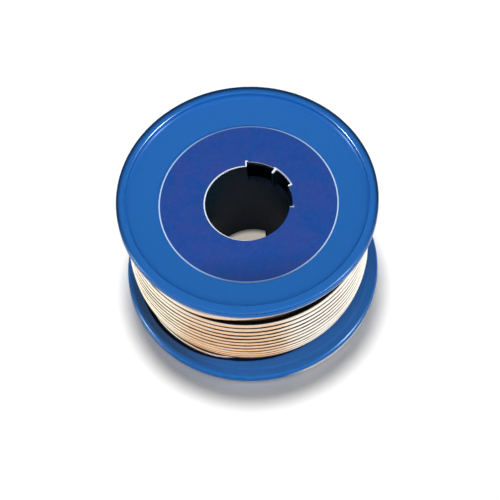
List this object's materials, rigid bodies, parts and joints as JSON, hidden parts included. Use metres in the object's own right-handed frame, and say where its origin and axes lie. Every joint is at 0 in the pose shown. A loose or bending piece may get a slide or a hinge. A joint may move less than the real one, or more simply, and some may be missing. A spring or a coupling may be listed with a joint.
{
  "type": "solder wire spool",
  "caption": "Small plastic reel with two rimmed flanges and a notched spindle bore, wound with a crowned pack of solder wire.",
  "frame": {"origin": "centre of the plane that the lower rim stands on", "axes": "+Z along the spindle axis towards the labelled face; -Y is the front"},
  "size_m": [0.05, 0.05, 0.0295],
  "materials": {
    "flange_plastic": "moulded, semi-gloss",
    "core_plastic": "moulded, satin",
    "label_paper": "printed plain, satin",
    "solder": "drawn solder wire, satin"
  },
  "bodies": {
    "root": {"upper_flange": "flange_plastic", "lower_flange": "flange_plastic", "winding_core": "core_plastic", "face_label": "label_paper", "inner_windings": "solder", "outer_winding": "solder", "wire_start_tail": "solder"}
  },
  "joints": []
}
